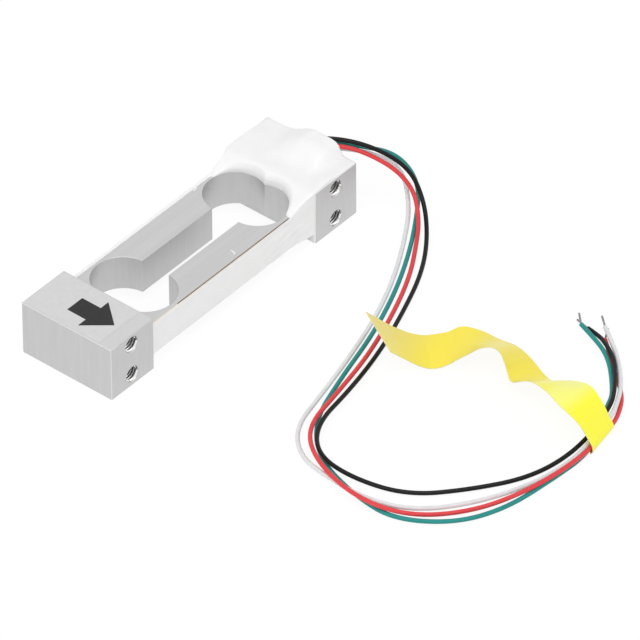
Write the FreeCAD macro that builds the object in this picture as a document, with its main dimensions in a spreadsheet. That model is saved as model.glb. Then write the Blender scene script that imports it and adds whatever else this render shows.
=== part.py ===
import FreeCAD, Part
import math
import os
import Sketcher
from FreeCAD import Placement, Rotation, Vector

# Strain gauge load cell, lying on its side, in millimetres.
# The origin is on the floor, under the middle of the spring element.
# +X runs from the block with the arrow to the block that the leads leave.
# The cell is loaded along Y, +Z is up.

DIMENSIONS = {
    "beam_length": 130.0,
    "beam_width": 40.0,
    "beam_height": 22.0,
    "block_length": 22.0,
    "waist_height": 14.0,
    "side_recess": 2.0,
    "bore_radius": 11.2,
    "bore_end_wall": 2.1,
    "flexure_thickness": 1.6,
    "slot_width": 11.8,
    "edge_chamfer": 0.4,
    "tapped_diameter": 6.0,
    "tapped_rim": 6.9,
    "tapped_edge": 4.4,
    "tapped_inset": 11.0,
    "label_thickness": 0.06,
    "label_margin": 0.5,
    "label_front_gap": 5.8,
    "print_thickness": 0.04,
    "arrow_shaft_width": 7.8,
    "arrow_shaft_length": 8.3,
    "arrow_head_width": 15.8,
    "arrow_head_length": 9.5,
    "arrow_tail_y": 5.6,
    "carrier_length": 8.0,
    "carrier_height": 5.0,
    "carrier_thickness": 0.1,
    "foil_thickness": 0.04,
    "foil_strand": 0.22,
    "foil_pitch": 0.42,
    "foil_length": 4.2,
    "foil_strands": 8,
    "strip_start_gap": 15.0,
    "strip_end_gap": 2.4,
    "strip_carrier_gap": 0.85,
    "strip_proud": 0.15,
    "strip_thickness": 0.12,
    "bridge_wire_diameter": 0.26,
    "bridge_wire_gap": 0.7,
    "bridge_wire_clearance": 0.08,
    "bridge_wire_tail": 3.4,
    "bridge_wire_depth": 1.6,
    "bridge_wire_bend": 1.2,
    "bridge_wire_rise": 0.6,
    "bridge_wire_step_gap": 0.8,
    "board_length": 8.5,
    "board_width": 15.0,
    "board_thickness": 0.8,
    "board_end_gap": 5.0,
    "board_shift": -2.5,
    "resistor_length": 2.6,
    "resistor_width": 1.6,
    "resistor_height": 0.55,
    "resistor_pitch": 4.5,
    "resistor_margin": 0.6,
    "joint_radius": 1.0,
    "joint_top_radius": 0.55,
    "joint_reach": 1.6,
    "coat_film": 0.25,
    "coat_bead": 0.6,
    "coat_bead_hold": 7.0,
    "coat_bead_fade": 14.0,
    "coat_reach": 11.5,
    "coat_overhang": 0.35,
    "coat_lip": 0.6,
    "side_coat_edge": 0.55,
    "side_coat_crown": 0.85,
    "side_coat_border": 0.2,
    "side_coat_ramp": 9.0,
    "mound_height": 4.6,
    "mound_start": 18.0,
    "mound_run": 14.0,
    "mound_end_run": 3.0,
    "mound_end_fall": 0.12,
    "mound_rear_edge": 13.0,
    "mound_rear_run": 13.5,
    "mound_front_edge": 15.5,
    "mound_front_run": 6.5,
    "lead_diameter": 1.6,
    "core_diameter": 0.8,
    "tip_length": 6.0,
    "tape_thickness": 0.3,
    "tape_width": 15.0,
}

# The middles of the bores lie this far from the middle of the spring element.
BORE_X = "(dims.beam_length / 2 - dims.block_length - dims.bore_end_wall - dims.bore_radius)"
BORE_Y = "(dims.beam_width / 2 - dims.side_recess - dims.flexure_thickness - dims.bore_radius)"

# Where each lead starts: its distance from the block's end, its place across
# the block and its height above the terminal board.
LEAD_STARTS = {
    "black": (6.0, 2.0, 2.0),
    "red": (7.5, -6.5, 1.1),
    "green": (6.5, -0.6, 1.2),
    "white": (6.5, -3.4, 1.1),
}

# The routes of the four leads, from just past their starts to the cut ends.
LEAD_ROUTES = {
    "black": [
        (64, -5, 26.7), (72, -18.5, 25.6), (80, -31, 17), (79, -39, 6),
        (68.5, -49, 0.8), (53, -59, 0.8), (33.5, -67, 0.8), (11.5, -74.5, 0.8), (-11, -80, 1.8),
        (-32.5, -83.4, 2.8), (-45, -94, 3.2), (-45, -110.5, 1.6), (-39.5, -129, 0.8),
        (-24, -143.5, 1.0), (-5.5, -155, 0.8), (15, -158.5, 1.9), (40, -154, 3.4),
        (59, -140, 3.3), (67, -122.5, 2.6),
    ],
    "red": [
        (64.5, -12, 25.3), (74.5, -26, 19.6), (78.5, -34.5, 10),
        (73, -41.5, 3.2), (65, -47, 1.0), (50, -56.5, 0.8), (30.5, -65, 0.8), (8, -72.5, 0.8),
        (-15, -78, 2.2), (-36, -82, 3.0), (-48, -95.5, 3.8), (-54.5, -118, 4.1),
        (-48.5, -136.5, 1.6), (-32.5, -151, 1.0), (-13.5, -160, 2.7), (10.5, -162.5, 3.2),
        (34, -159.5, 1.3), (50, -151, 0.8), (59.5, -141, 0.8), (66, -129.5, 0.8),
    ],
    "green": [
        (64.5, -4.8, 24.6), (72.5, -15.5, 23), (82.5, -24, 18),
        (84.5, -32.5, 7.2), (71.5, -41, 0.8), (55.5, -50.5, 0.8), (37.5, -59.2, 0.8),
        (16.5, -67, 0.9), (-7, -73, 0.8), (-30, -80.2, 0.8), (-44.5, -94.5, 0.8),
        (-51, -116, 0.8), (-52, -133, 0.8), (-40.5, -150, 0.8), (-24, -158.5, 0.8),
        (-3, -161, 0.8), (17.5, -161.5, 1.1), (41, -152, 1.1), (57.5, -138, 0.8),
        (66.9, -119, 0.8),
    ],
    "white": [
        (65.5, -9, 23.2), (75, -18, 19.8), (82, -26.5, 13),
        (76.5, -34.5, 3), (62, -43.8, 0.8), (43.5, -54, 0.8), (24, -62, 0.8), (3, -68.2, 0.8),
        (-18.5, -73.5, 0.8), (-36.5, -77.5, 0.8), (-47, -88, 0.8), (-50.5, -102, 2.0),
        (-52, -121, 3.0), (-44, -136.5, 1.0), (-26.5, -150, 0.8), (-6, -158.5, 0.8),
        (16, -160, 2.7), (40, -156.5, 3.2), (60.5, -142, 2.6), (70, -127, 2.6),
    ],
}

# The two long edges of the marker tape's flag, from the wrap round the leads to its free end.
TAPE_FAR_EDGE = [
    (32, -156, 8), (34, -149, 11), (36, -141.5, 8), (37, -133.5, 3.5), (38, -125, 1),
    (40, -115.5, 4), (39, -106, 5), (36, -97, 7), (31, -89, 5), (25, -81.5, 3.5),
    (18.5, -76, 8), (12, -72, 15), (9, -70.5, 18),
]
TAPE_NEAR_EDGE = [
    (17.5, -156.5, 9.5), (19, -147, 11.5), (22, -138.5, 11.5), (24, -130, 9.5),
    (24.5, -123, 6), (26.5, -117, 9.5), (26.5, -109.5, 12), (23, -103.5, 8), (20, -98, 2.5),
    (14.5, -92, 1.3), (9.5, -87.5, 6), (4.5, -85, 11.5), (7, -83, 8.7),
]
# The wrap round the leads, as (across, height) in the plane that the leads cross.
TAPE_WRAP = [(4.4, 2.2), (2.6, 0.1), (-3.3, 0.1), (-4.0, 4.2), (-1.8, 8.4)]
TAPE_WRAP_CENTRE = Vector(27.5, -158.2, 0)
TAPE_WRAP_ALONG = Vector(0.984, 0.18, 0)

doc = FreeCAD.newDocument("load_cell")
sheet = doc.addObject("Spreadsheet::Sheet", "dims")
for row, (alias, number) in enumerate(DIMENSIONS.items(), start=1):
    sheet.set(f"A{row}", alias)
    sheet.set(f"B{row}", str(number))
    sheet.setAlias(f"B{row}", alias)
doc.recompute()

nodes = []


def size(alias):
    return float(sheet.get(alias))


def bore_middle():
    """What BORE_X and BORE_Y come to."""
    x = size("beam_length") / 2 - size("block_length") - size("bore_end_wall")
    y = size("beam_width") / 2 - size("side_recess") - size("flexure_thickness")
    return x - size("bore_radius"), y - size("bore_radius")


def lead_route(colour):
    """Every point of a lead's route, its start on the terminal board included."""
    inset, across, rise = LEAD_STARTS[colour]
    height = size("beam_height") + size("board_thickness") + rise
    return [(size("beam_length") / 2 - inset, across, height)] + LEAD_ROUTES[colour]


def keep(feature, label):
    """Name a finished sub-part and put it on the list of those that are written."""
    feature.Label = label
    nodes.append(feature)
    return feature


def made(shape, label):
    """A sub-part whose form is worked out here."""
    feature = doc.addObject("Part::Feature", label)
    feature.Shape = shape
    return feature


def block(name, sizes, corner):
    """A plain rectangular piece: its three sizes and its lowest corner are sheet formulas."""
    piece = doc.addObject("Part::Box", name)
    for prop, formula in zip(("Length", "Width", "Height"), sizes):
        piece.setExpression(prop, formula)
    for axis, formula in zip("xyz", corner):
        piece.setExpression(f"Placement.Base.{axis}", formula)
    return piece


def new_body(name):
    return doc.addObject("PartDesign::Body", name)


def plane_sketch(body, role, name):
    sketch = body.newObject("Sketcher::SketchObject", name)
    plane = next(f for f in body.Origin.OriginFeatures if f.Role == role)
    sketch.AttachmentSupport = (plane, [""])
    sketch.MapMode = "FlatFace"
    return sketch


def add_rectangle(sketch, name, width, height, middle_y=None):
    """A rectangle that is centred on the vertical axis; width, height and middle_y are formulas."""
    first = sketch.GeometryCount
    corners = [Vector(-5, -3, 0), Vector(5, -3, 0), Vector(5, 3, 0), Vector(-5, 3, 0)]
    lift = Vector(0, 0 if middle_y is None else 8, 0)
    corners = [c + lift for c in corners]
    for i in range(4):
        sketch.addGeometry(Part.LineSegment(corners[i], corners[(i + 1) % 4]), False)
    for i in range(4):
        sketch.addConstraint(
            Sketcher.Constraint("Coincident", first + i, 2, first + (i + 1) % 4, 1)
        )
    for i in (0, 2):
        if i or middle_y is None:
            sketch.addConstraint(Sketcher.Constraint("Horizontal", first + i))
        sketch.addConstraint(Sketcher.Constraint("Vertical", first + i + 1))
    wide = sketch.addConstraint(Sketcher.Constraint("DistanceX", first, 1, first, 2, 10))
    tall = sketch.addConstraint(Sketcher.Constraint("DistanceY", first, 2, first + 2, 1, 6))
    sketch.renameConstraint(wide, name + "_width")
    sketch.renameConstraint(tall, name + "_height")
    if middle_y is None:
        sketch.addConstraint(Sketcher.Constraint("Symmetric", first, 1, first + 2, 1, -1, 1))
    else:
        sketch.addConstraint(Sketcher.Constraint("Symmetric", first, 1, first, 2, -2))
        low = sketch.addConstraint(Sketcher.Constraint("DistanceY", -1, 1, first, 1, 5))
        sketch.renameConstraint(low, name + "_low")
        sketch.setExpression(f"Constraints.{name}_low", f"{middle_y} - ({height}) / 2")
    sketch.setExpression(f"Constraints.{name}_width", width)
    sketch.setExpression(f"Constraints.{name}_height", height)


def add_circle(sketch, name, centre, radius):
    """A circle; centre is two positive formulas and the sides that they are measured to."""
    (x_formula, x_side), (y_formula, y_side) = centre
    geo = sketch.addGeometry(Part.Circle(Vector(9 * x_side, 9 * y_side, 0), Vector(0, 0, 1), 2))
    rim = sketch.addConstraint(Sketcher.Constraint("Radius", geo, 2))
    sketch.renameConstraint(rim, name + "_radius")
    sketch.setExpression(f"Constraints.{name}_radius", radius)
    for word, kind, formula, side in (
        ("x", "DistanceX", x_formula, x_side),
        ("y", "DistanceY", y_formula, y_side),
    ):
        ends = (-1, 1, geo, 3) if side > 0 else (geo, 3, -1, 1)
        place = sketch.addConstraint(Sketcher.Constraint(kind, *ends, 9))
        sketch.renameConstraint(place, f"{name}_{word}")
        sketch.setExpression(f"Constraints.{name}_{word}", formula)


def cut_through(body, sketch, name):
    pocket = body.newObject("PartDesign::Pocket", name)
    pocket.Profile = sketch
    pocket.Type = "ThroughAll"
    pocket.Midplane = True
    doc.recompute()
    return pocket


def mirror(body, original, role, name):
    """Repeat a cut on the other side of one of the body's own planes."""
    plane = next(f for f in body.Origin.OriginFeatures if f.Role == role)
    copy = body.newObject("PartDesign::Mirrored", name)
    copy.Originals = [original]
    copy.MirrorPlane = (plane, [""])
    body.Tip = copy
    doc.recompute()
    return copy


def tube(points, diameter):
    """A round tube along straight runs that are joined by arcs; returns it and its smallest bend."""
    radius = diameter / 2
    points = [Vector(*p) for p in points]
    edges = []
    bends = []
    start = points[0]
    for before, corner, after in zip(points, points[1:], points[2:]):
        into = (corner - before).normalize()
        out = (after - corner).normalize()
        turn = into.getAngle(out)
        trim = 0.45 * min((corner - before).Length, (after - corner).Length)
        first = corner - into * trim
        last = corner + out * trim
        bend = trim / math.tan(turn / 2)
        bends.append(bend)
        inward = (out - into).normalize()
        middle = corner + inward * (bend / math.cos(turn / 2) - bend)
        edges.append(Part.LineSegment(start, first).toShape())
        edges.append(Part.Arc(first, middle, last).toShape())
        start = last
    edges.append(Part.LineSegment(start, points[-1]).toShape())
    path = Part.Wire(edges)
    ring = Part.Wire(Part.makeCircle(radius, points[0], points[1] - points[0]))
    solid = path.makePipeShell([ring], True, False)
    expected = math.pi * radius**2 * path.Length
    if abs(solid.Volume - expected) > 0.01 * expected:
        raise ValueError(f"a tube holds {solid.Volume:.2f} mm3, and {expected:.2f} mm3 is right")
    return solid, min(bends), path.Length


# The spring element is milled from one bar: two end blocks, a thinner waist
# and a cut-out that leaves four thin flexures under the gauges.
def spring_element():
    body = new_body("spring_element_body")
    outline = plane_sketch(body, "XY_Plane", "bar_outline")
    add_rectangle(outline, "bar", "dims.beam_length", "dims.beam_width")
    bar = body.newObject("PartDesign::Pad", "bar")
    bar.Profile = outline
    bar.setExpression("Length", "dims.beam_height")
    doc.recompute()

    waist_length = "dims.beam_length - 2 * dims.block_length"
    over = plane_sketch(body, "XZ_Plane", "waist_profile")
    step = "(dims.beam_height - dims.waist_height)"
    add_rectangle(over, "top", waist_length, step, "dims.beam_height")
    add_rectangle(over, "bottom", waist_length, step, "0")
    cut_through(body, over, "waist_steps")

    side = plane_sketch(body, "XY_Plane", "side_recess_outline")
    add_rectangle(side, "side", waist_length, "2 * dims.side_recess", "dims.beam_width / 2")
    mirror(body, cut_through(body, side, "side_recess"), "XZ_Plane", "side_recess_pair")

    slot = plane_sketch(body, "XY_Plane", "slot_outline")
    add_rectangle(slot, "slot", f"2 * {BORE_X}", "dims.slot_width")
    cut_through(body, slot, "slot")

    bores = plane_sketch(body, "XY_Plane", "bore_circles")
    for name, x_side in (("near", -1), ("far", 1)):
        add_circle(bores, name, ((BORE_X, x_side), (BORE_Y, 1)), "dims.bore_radius")
    mirror(body, cut_through(body, bores, "bores"), "XZ_Plane", "bore_pairs")

    # The outer edges of both blocks are broken by a small chamfer.
    half_length = size("beam_length") / 2
    half_width = size("beam_width") / 2
    outer = []
    milled = body.Tip
    for number, edge in enumerate(milled.Shape.Edges, start=1):
        box = edge.BoundBox
        at_end = box.XMin > half_length - 0.01 or box.XMax < -half_length + 0.01
        at_side = box.YMin > half_width - 0.01 or box.YMax < -half_width + 0.01
        on_face = box.ZLength < 0.01
        if (at_end and (on_face or at_side)) or (at_side and on_face):
            outer.append(f"Edge{number}")
    chamfer = body.newObject("PartDesign::Chamfer", "block_edges")
    chamfer.Base = (milled, outer)
    chamfer.setExpression("Size", "dims.edge_chamfer")
    body.Tip = chamfer
    doc.recompute()

    # Two tapped holes run through each block. The first cut makes them, with
    # a countersunk rim at the front, and the second makes the rim at the rear.
    radius = size("tapped_diameter") / 2
    rim = size("tapped_rim") / 2
    deep = rim - radius
    rim_ring = math.pi * deep * ((rim**2 + rim * radius + radius**2) / 3 - radius**2)
    bore_volume = math.pi * radius**2 * size("beam_width")
    for side_name, sign, volume in (("front", -1, bore_volume + rim_ring), ("rear", 1, rim_ring)):
        circles = plane_sketch(body, "XZ_Plane", f"{side_name}_hole_circles")
        circles.setExpression("AttachmentOffset.Base.z", f"{-sign} * dims.beam_width / 2")
        from_middle = "dims.beam_length / 2 - dims.tapped_inset"
        heights = (("low", "dims.tapped_edge"), ("high", "dims.beam_height - dims.tapped_edge"))
        for x_name, x_side in (("near", -1), ("far", 1)):
            for z_name, height in heights:
                centre = ((from_middle, x_side), (height, 1))
                add_circle(circles, f"{x_name}_{z_name}", centre, "dims.tapped_diameter / 2")
        doc.recompute()
        before = body.Tip.Shape.Volume
        hole = body.newObject("PartDesign::Hole", f"{side_name}_holes")
        hole.Profile = circles
        hole.Reversed = sign > 0
        hole.ThreadType = "None"
        hole.DepthType = "ThroughAll" if sign < 0 else "Dimension"
        hole.DrillPoint = "Flat"
        hole.HoleCutType = "Countersink"
        hole.HoleCutCountersinkAngle = 90
        hole.setExpression("Diameter", "dims.tapped_diameter")
        hole.setExpression("Depth", "dims.tapped_rim")
        hole.setExpression("HoleCutDiameter", "dims.tapped_rim")
        body.Tip = hole
        doc.recompute()
        removed = before - body.Tip.Shape.Volume
        if abs(removed - 4 * volume) > 0.02 * volume:
            raise ValueError(f"the {side_name} cut takes {removed:.2f} mm3, not {4 * volume:.2f}")
    return keep(body, "spring_element")


# A thin film with a printed arrow lies on top of the near block.
def direction_label():
    film = block(
        "direction_label_film",
        (
            "dims.block_length - 2 * dims.label_margin",
            "dims.beam_width - dims.label_front_gap - dims.label_margin",
            "dims.label_thickness",
        ),
        (
            "dims.label_margin - dims.beam_length / 2",
            "dims.label_front_gap - dims.beam_width / 2",
            "dims.beam_height",
        ),
    )
    keep(film, "direction_label")

    middle = -size("beam_length") / 2 + size("tapped_inset")
    shaft = size("arrow_shaft_width") / 2
    head = size("arrow_head_width") / 2
    tail = size("arrow_tail_y")
    neck = tail - size("arrow_shaft_length")
    tip = neck - size("arrow_head_length")
    height = size("beam_height") + size("label_thickness")
    right_side = [(shaft, tail), (shaft, neck), (head, neck)]
    left_side = [(-x, y) for x, y in reversed(right_side)]
    outline = right_side + [(0, tip)] + left_side
    points = [Vector(middle + x, y, height) for x, y in outline + outline[:1]]
    arrow = Part.Face(Part.makePolygon(points)).extrude(Vector(0, 0, size("print_thickness")))
    keep(made(arrow, "arrow_mark_print"), "arrow_mark")


# A foil gauge sits over each flexure: a carrier film and an etched grid on it.
def foil_grid(x_middle, side):
    """A grid of thin strands joined at alternate ends, standing on the carrier."""
    strand = size("foil_strand")
    pitch = size("foil_pitch")
    half = size("foil_length") / 2
    count = int(size("foil_strands"))
    low =size("beam_height") / 2 - (count - 1) * pitch / 2 - strand / 2
    inner = size("beam_width") / 2 - size("side_recess") + size("carrier_thickness")
    start = inner if side > 0 else -inner - size("foil_thickness")
    pieces = []
    for i in range(count):
        corner = Vector(x_middle - half, start, low + i * pitch)
        pieces.append(Part.makeBox(2 * half, size("foil_thickness"), strand, corner))
        if i + 1 < count:
            end_x = x_middle + (half - strand if i % 2 == 0 else -half)
            link = Vector(end_x, start, low + i * pitch)
            pieces.append(Part.makeBox(strand, size("foil_thickness"), pitch + strand, link))
    return pieces[0].multiFuse(pieces[1:]).removeSplitter()


def gauges():
    made_pieces = []
    for side_name, side in (("front", -1), ("rear", 1)):
        face = "(dims.beam_width / 2 - dims.side_recess)"
        low_y = face if side > 0 else f"-{face} - dims.carrier_thickness"
        for end_name, end in (("near", -1), ("far", 1)):
            name = f"{side_name}_{end_name}"
            carrier = block(
                f"carrier_{name}",
                ("dims.carrier_length", "dims.carrier_thickness", "dims.carrier_height"),
                (
                    f"{end} * {BORE_X} - dims.carrier_length / 2",
                    low_y,
                    "(dims.beam_height - dims.carrier_height) / 2",
                ),
            )
            keep(carrier, f"gauge_carrier_{name}")
            grid = made(foil_grid(end * bore_middle()[0], side), f"grid_{name}")
            keep(grid, f"gauge_grid_{name}")
            made_pieces += [carrier, grid]
    return made_pieces


# A printed strip along the top of each waist side joins the two gauges.
# Two fine wires then climb the step of the far block to the terminal board.
def wiring():
    pieces = []
    off = size("bridge_wire_diameter") / 2 + size("bridge_wire_clearance")
    rim = 0.1
    tail, depth, bend, rise, gap = (
        size(f"bridge_wire_{word}") for word in ("tail", "depth", "bend", "rise", "step_gap")
    )
    face = size("beam_width") / 2 - size("side_recess")
    waist_top = (size("beam_height") + size("waist_height")) / 2
    strip_top = waist_top + size("strip_proud")
    step = size("beam_length") / 2 - size("block_length")
    strip_end = step - size("strip_end_gap")
    top = size("beam_height")
    climb = top - waist_top
    board_start = size("beam_length") / 2 - size("board_end_gap") - size("board_length")
    for side_name, side in (("front", -1), ("rear", 1)):
        wall = "(dims.beam_width / 2 - dims.side_recess)"
        waist_half_length = "(dims.beam_length / 2 - dims.block_length)"
        strip = block(
            f"strip_{side_name}",
            (
                f"2 * {waist_half_length} - dims.strip_start_gap - dims.strip_end_gap",
                "dims.strip_thickness",
                "(dims.waist_height - dims.carrier_height) / 2"
                " + dims.strip_proud - dims.strip_carrier_gap",
            ),
            (
                f"dims.strip_start_gap - {waist_half_length}",
                wall if side > 0 else f"-{wall} - dims.strip_thickness",
                "(dims.beam_height + dims.carrier_height) / 2 + dims.strip_carrier_gap",
            ),
        )
        keep(strip, f"flex_strip_{side_name}")
        pieces.append(strip)
        lie = face + size("strip_thickness") + off
        board_y = side * size("board_width") / 3 + size("board_shift")
        runs = []
        for number in range(2):
            shift = number * size("bridge_wire_gap")
            route = [
                (strip_end - tail - shift, side * lie, strip_top - depth),
                (strip_end - bend - shift, side * lie, strip_top + rise),
                (step - gap - rise - shift, side * (face - 0.2 * climb), strip_top + 0.5 * climb),
                (step - gap - shift, side * (face - 0.5 * climb), top + off + rim),
                (step + climb, side * (face - 1.1 * climb - shift), top + off),
                (board_start - off, board_y - side * shift, top + off),
            ]
            runs.append(tube(route, size("bridge_wire_diameter"))[0])
        wires = made(Part.makeCompound(runs), f"wires_{side_name}")
        keep(wires, f"bridge_wires_{side_name}")
        pieces.append(wires)
    return pieces


# The leads are soldered to a small board on top of the far block,
# beside the resistors that balance the bridge.
def terminal_board():
    board = block(
        "board",
        ("dims.board_length", "dims.board_width", "dims.board_thickness"),
        (
            "dims.beam_length / 2 - dims.board_end_gap - dims.board_length",
            "dims.board_shift - dims.board_width / 2",
            "dims.beam_height",
        ),
    )
    keep(board, "terminal_board")
    pieces = [board]
    for number in range(3):
        chip = block(
            f"chip_{number + 1}",
            ("dims.resistor_length", "dims.resistor_width", "dims.resistor_height"),
            (
                "dims.beam_length / 2 - dims.board_end_gap - dims.board_length"
                " + dims.resistor_margin",
                f"dims.board_shift + {number - 1} * dims.resistor_pitch - dims.resistor_width / 2",
                "dims.beam_height + dims.board_thickness",
            ),
        )
        keep(chip, f"trim_resistor_{number + 1}")
        pieces.append(chip)

    floor = size("beam_height") + size("board_thickness")
    joints = []
    for colour in LEAD_ROUTES:
        route = lead_route(colour)
        start = Vector(*route[0])
        out = (Vector(*route[1]) - start).normalize()
        pad = start - out * size("joint_reach")
        height = pad.z + size("joint_top_radius") - floor
        base = Vector(pad.x, pad.y, floor)
        cone = Part.makeCone(size("joint_radius"), size("joint_top_radius"), height, base)
        core = Part.makeCylinder(size("core_diameter") / 2, size("joint_reach"), pad, out)
        joints.append(cone.fuse(core).removeSplitter())
    group = made(Part.makeCompound(joints), "lead_joints")
    pieces.append(keep(group, "solder_joints"))
    return pieces


# Four insulated leads of one size, each with a short bare end.
def leads():
    pieces = []
    tips = []
    for colour in LEAD_ROUTES:
        route = lead_route(colour)
        solid, bend, length = tube(route, size("lead_diameter"))
        print(f"lead_{colour}: length {length:.1f} mm, smallest bend radius {bend:.1f} mm")
        pieces.append(keep(made(solid, f"insulation_{colour}"), f"lead_{colour}"))
        end = Vector(*route[-1])
        out = (end - Vector(*route[-2])).normalize()
        tip = doc.addObject("Part::Cylinder", f"strands_{colour}")
        tip.setExpression("Radius", "dims.core_diameter / 2")
        tip.setExpression("Height", "dims.tip_length")
        tip.Placement = Placement(end, Rotation(Vector(0, 0, 1), out))
        tips.append((tip, f"bare_tip_{colour}"))
    for tip, label in tips:
        keep(tip, label)
    return pieces


# White silicone covers the gauges on both waist sides and the top of the far block,
# where it swells into a mound over the terminal board.
def smooth(share):
    share = min(max(share, 0.0), 1.0)
    return share * share * (3 - 2 * share)


def coat_height(x, y):
    """The height of the silicone's upper surface."""
    end = size("beam_length") / 2
    step = end - size("block_length")
    waist_top = (size("beam_height") + size("waist_height")) / 2
    ramp = smooth((x - step) / size("coat_reach") + 1)
    ground = waist_top + (size("beam_height") - waist_top) * ramp
    fade = smooth((x - step - size("coat_bead_hold")) / size("coat_bead_fade"))
    bead = size("coat_bead") * ramp * (1 - fade)
    fall = size("mound_end_fall") * smooth((x - end) / size("mound_end_run") + 1)
    along = smooth((x - end + size("mound_start")) / size("mound_run")) * (1 - fall)
    rear = smooth((size("mound_rear_edge") - y) / size("mound_rear_run"))
    front = smooth((size("mound_front_edge") + y) / size("mound_front_run"))
    return ground + size("coat_film") + bead + size("mound_height") * along * rear * front


def coat_top():
    """The silicone over the far block and the waist's end, before the beam is taken out of it."""
    end = size("beam_length") / 2
    step = end - size("block_length")
    half = size("beam_width") / 2
    waist_half = half - size("side_recess")
    start = step - size("coat_reach")
    columns = 18
    rows = 15
    grid = []
    for i in range(columns):
        x = start + (end - start) * i / (columns - 1)
        row = []
        for j in range(rows):
            y = -half + 2 * half * j / (rows - 1)
            row.append(Vector(x, y, coat_height(x, y)))
        grid.append(row)
    surface = Part.BSplineSurface()
    surface.interpolate(grid)
    height = 2 * size("beam_height")
    floor = (size("beam_height") + size("waist_height")) / 2 - 1
    solid = surface.toShape().extrude(Vector(0, 0, -height))
    solid = solid.common(Part.makeBox(end - start, 2 * half, height, Vector(start, -half, floor)))
    edge = waist_half + size("side_coat_edge")
    for y in (-half, edge):
        run = step - start - size("coat_lip")
        notch = Part.makeBox(run, half - edge, height, Vector(start, y, 0))
        solid = solid.cut(notch)
    bore_x, bore_y = bore_middle()
    for y in (-bore_y, bore_y):
        base = Vector(bore_x, y, 0)
        bore = Part.makeCylinder(size("bore_radius") - size("coat_overhang"), height, base)
        solid = solid.cut(bore)
    # The tapped holes inside the block stay free of silicone.
    far_block = Part.makeBox(end - step, 2 * half, size("beam_height"), Vector(step, -half, 0))
    return solid.cut(far_block)


def side_coat():
    """The coat on the front side of the waist, with its ramp up to the far block's face."""
    body = new_body("side_coat_body")
    sketch = plane_sketch(body, "YZ_Plane", "side_coat_section")
    wall = size("beam_width") / 2 - size("side_recess")
    low = (size("beam_height") - size("waist_height")) / 2 + size("side_coat_border")
    high = size("beam_height") - low
    edge = wall + size("side_coat_edge")
    crown = wall + size("side_coat_crown")
    inner = wall - size("side_coat_edge")
    bottom = Vector(-edge, low, 0)
    top = Vector(-edge, high, 0)
    middle = Vector(-crown, size("beam_height") / 2, 0)
    sketch.addGeometry(Part.Arc(bottom, middle, top), False)
    sketch.addGeometry(Part.LineSegment(top, Vector(-inner, high, 0)), False)
    sketch.addGeometry(Part.LineSegment(Vector(-inner, high, 0), Vector(-inner, low, 0)), False)
    sketch.addGeometry(Part.LineSegment(Vector(-inner, low, 0), bottom), False)
    pad = body.newObject("PartDesign::Pad", "side_coat_pad")
    pad.Profile = sketch
    pad.Midplane = True
    pad.setExpression("Length", "dims.beam_length - 2 * dims.block_length")
    doc.recompute()

    step = size("beam_length") / 2 - size("block_length")
    half = size("beam_width") / 2
    start = step - size("side_coat_ramp")
    foot = Vector(start, -edge, 0)
    lip = Vector(step, -half, 0)
    sag = Vector(0, (half - edge) / 4, 0)
    rise = (foot + lip) / 2 + sag
    ramp = Part.Wire(
        [
            Part.Arc(foot, rise, lip).toShape(),
            Part.makeLine(lip, Vector(step, -inner, 0)),
            Part.makeLine(Vector(step, -inner, 0), Vector(start, -inner, 0)),
            Part.makeLine(Vector(start, -inner, 0), foot),
        ]
    )
    ramp.translate(Vector(0, 0, low))
    wedge = Part.Face(ramp).extrude(Vector(0, 0, high - low))
    lip_thickness = size("coat_lip")
    foot_gap = size("side_coat_border") + size("edge_chamfer")
    corner = Vector(step - lip_thickness, -half, foot_gap)
    skin = Part.makeBox(lip_thickness, half - inner, size("beam_height") - foot_gap, corner)
    return body.Shape.multiFuse([wedge, skin])


def sealant(held):
    front = side_coat()
    rear = front.mirror(Vector(0, 0, 0), Vector(0, 1, 0))
    coat = coat_top().multiFuse([front, rear])
    for piece in held:
        coat = coat.cut(piece.Shape)
    if len(coat.Solids) != 1:
        raise ValueError(f"the sealant falls into {len(coat.Solids)} solids")
    keep(made(coat, "silicone"), "sealant")


# A marker tape is folded round the leads near their ends; its flag stands in waves.
def marker_tape():
    half = size("tape_thickness") / 2
    sections = []
    far = [Vector(*p) for p in TAPE_FAR_EDGE]
    near = [Vector(*p) for p in TAPE_NEAR_EDGE]
    for i in range(len(far)):
        across = (far[i] - near[i]).normalize()
        last = min(i + 1, len(far) - 1)
        first = max(i - 1, 0)
        along = (far[last] + near[last]) - (far[first] + near[first])
        normal = across.cross(along).normalize() * half
        ring = [far[i] + normal, near[i] + normal, near[i] - normal, far[i] - normal]
        sections.append(Part.makePolygon(ring + ring[:1]))
    flag = Part.makeLoft(sections, True, True)

    along = Vector(TAPE_WRAP_ALONG).normalize()
    outward = along.cross(Vector(0, 0, 1))
    middle = TAPE_WRAP_CENTRE - along * (size("tape_width") / 2)
    rings = []
    for inset in (0.0, size("tape_thickness") / 2):
        points = []
        count = len(TAPE_WRAP)
        centre_u = sum(u for u, _ in TAPE_WRAP) / count
        centre_z = sum(z for _, z in TAPE_WRAP) / count
        for u, z in TAPE_WRAP:
            pull = Vector(centre_u - u, 0, centre_z - z).normalize() * inset
            points.append(middle + outward * (u + pull.x) + Vector(0, 0, z + pull.z))
        rings.append(Part.Face(Part.makePolygon(points + points[:1])))
    wrap = rings[0].cut(rings[1]).extrude(along * size("tape_width"))
    keep(made(flag.fuse(wrap), "tape"), "marker_tape")


element = spring_element()
direction_label()
held = [element] + gauges() + wiring() + terminal_board() + leads()
sealant(held)
marker_tape()
doc.recompute()

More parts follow.
